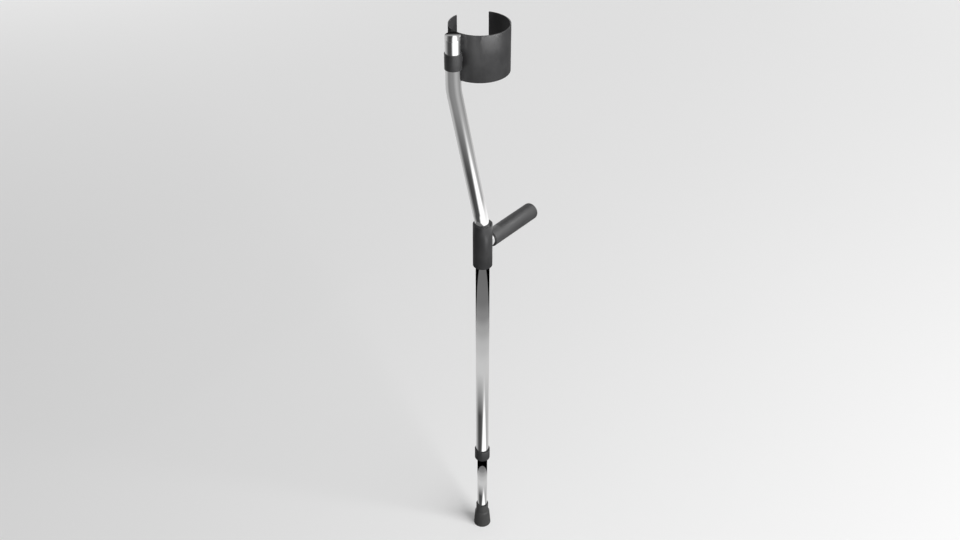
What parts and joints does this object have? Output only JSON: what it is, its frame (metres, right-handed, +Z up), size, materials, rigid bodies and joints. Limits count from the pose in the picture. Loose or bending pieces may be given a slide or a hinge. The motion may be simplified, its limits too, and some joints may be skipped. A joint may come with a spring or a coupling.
{
  "type": "forearm crutch",
  "caption": "Forearm crutch: bent polished tube, open side-entry cuff, forward hand grip, lock collar, telescoping lower leg and flared rubber ferrule.",
  "frame": {"origin": "centre of the ferrule's flat base, where the crutch meets the ground", "axes": "+Z up the straight lower shaft, +X forward along the hand grip, +Y to the user's left; the cuff stands in front of the forearm run and opens towards +X +Y"},
  "size_m": [0.2329, 0.1004, 1.133],
  "materials": {
    "polished_aluminium": "polished",
    "moulded_plastic": "satin",
    "grip_rubber": "satin",
    "tip_rubber": "matte",
    "nylon": "matte",
    "zinc_plated_steel": "bright zinc"
  },
  "bodies": {
    "shaft": {"shaft_tube": "polished_aluminium", "tube_end_cap": "polished_aluminium", "handle_hub": "moulded_plastic", "handle_core": "polished_aluminium", "core_washer": "zinc_plated_steel", "handle_bolt": "zinc_plated_steel", "saddle_nut": "zinc_plated_steel", "grip_sleeve": "grip_rubber", "collet_bush": "nylon", "cuff_saddle": "moulded_plastic", "cuff_rivet": "zinc_plated_steel"},
    "leg": {"lower_tube": "polished_aluminium", "glide_bush": "nylon", "snap_spring": "zinc_plated_steel", "ferrule": "tip_rubber", "ferrule_washer": "zinc_plated_steel"},
    "snap_button": {"snap_button": "zinc_plated_steel"},
    "lock_collar": {"lock_collar": "moulded_plastic"},
    "cuff": {"cuff_shell": "moulded_plastic", "pivot_washer": "nylon", "inner_washer": "nylon"}
  },
  "joints": [
    {"name": "leg_height", "type": "slide", "parent": "shaft", "child": "leg", "axis": [0, 0, 1], "range_m": [-0.22, 0.02]},
    {"name": "button_press", "type": "slide", "parent": "leg", "child": "snap_button", "axis": [1, 0, 0], "range_m": [-0.0034, 0], "stiffness_N_per_m": 1500, "springref_m": 0.002, "deforming": ["snap_spring"]},
    {"name": "collar_turn", "type": "hinge", "parent": "shaft", "child": "lock_collar", "pos_m": [0, 0, 0.2], "axis": [0, 0, 1], "range_deg": [0, 90]},
    {"name": "cuff_rock", "type": "hinge", "parent": "shaft", "child": "cuff", "pos_m": [-0.0565, 0, 1.087], "axis": [1, 0, 0], "range_deg": [-12, 12]}
  ]
}
